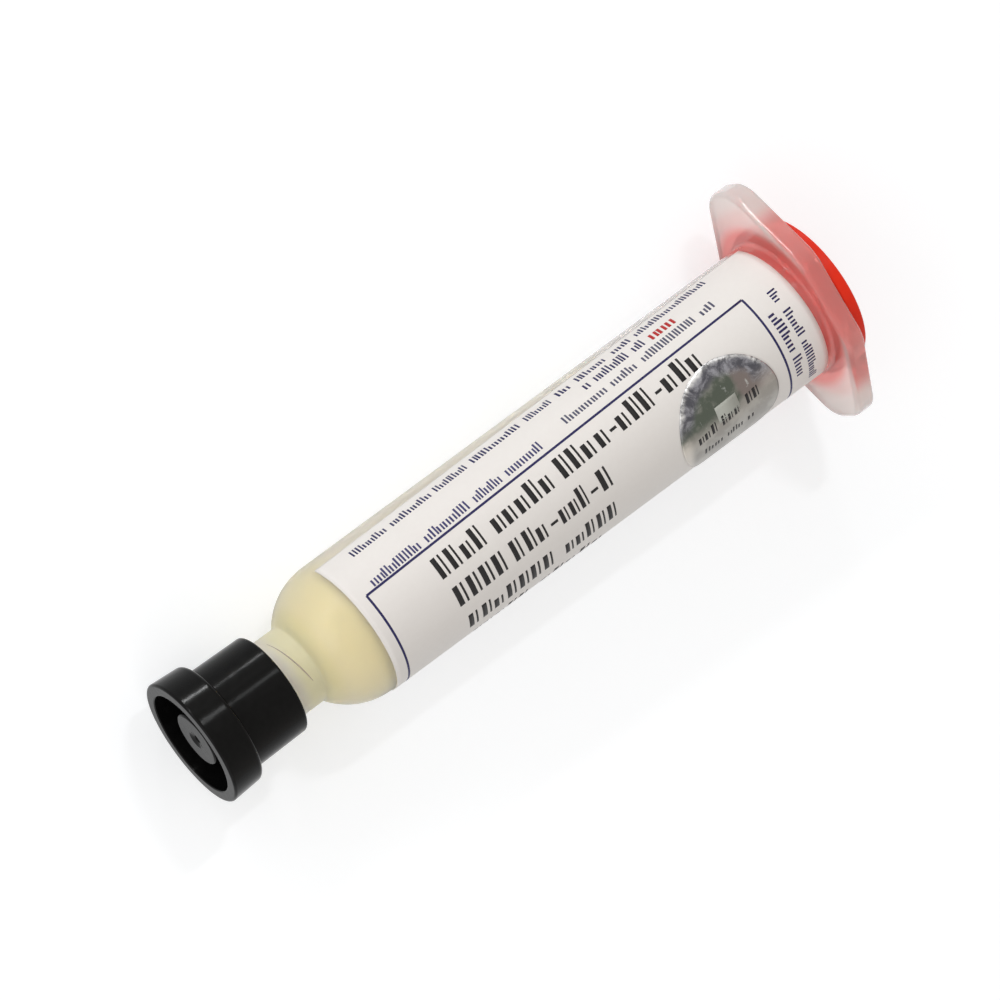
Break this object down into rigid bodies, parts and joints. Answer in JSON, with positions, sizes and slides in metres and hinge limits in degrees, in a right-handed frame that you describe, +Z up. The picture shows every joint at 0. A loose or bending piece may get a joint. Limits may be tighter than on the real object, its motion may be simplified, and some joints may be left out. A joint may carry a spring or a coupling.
{
  "type": "dispensing syringe barrel",
  "caption": "Capped, pre-filled dispensing barrel for soldering flux: domed tube with luer collar, tip cap, finger flange, snap-in end cap, wiper piston, wrap label and round foil sticker.",
  "frame": {"origin": "middle of the box round the part, on the surface that the capped barrel lies on", "axes": "+X runs from the tip cap towards the finger flange and +Z is up, with the two finger ears level along Y; the barrel's own axis climbs 1.4 degrees towards +X, as it lies on the tip cap's rim and the flange's flat side"},
  "size_m": [0.099, 0.0332, 0.0218],
  "materials": {
    "natural_polypropylene": "milky, see-through",
    "flux_gel": "pale yellow gel",
    "white_polyethylene": "satin",
    "black_polyethylene": "satin",
    "red_polyethylene": "satin",
    "label_stock": "matt coated paper, printed with plain bars",
    "silver_foil": "embossed foil"
  },
  "bodies": {
    "barrel": {"barrel": "natural_polypropylene", "label": "label_stock", "foil_sticker": "silver_foil", "flux": "flux_gel"},
    "wiper_piston": {"wiper_piston": "white_polyethylene"},
    "tip_cap": {"tip_cap": "black_polyethylene"},
    "end_cap": {"end_cap": "red_polyethylene"}
  },
  "joints": [
    {"name": "piston_slide", "type": "slide", "parent": "barrel", "child": "wiper_piston", "axis": [-0.9997, 0, -0.0251], "range_m": [0, 0.0498], "deforming": ["flux"]},
    {"name": "tip_cap_slide", "type": "slide", "parent": "barrel", "child": "tip_cap", "axis": [-0.9997, 0, -0.0251], "range_m": [0, 0.018]},
    {"name": "end_cap_slide", "type": "slide", "parent": "barrel", "child": "end_cap", "axis": [0.9997, 0, 0.0251], "range_m": [0, 0.012]}
  ]
}
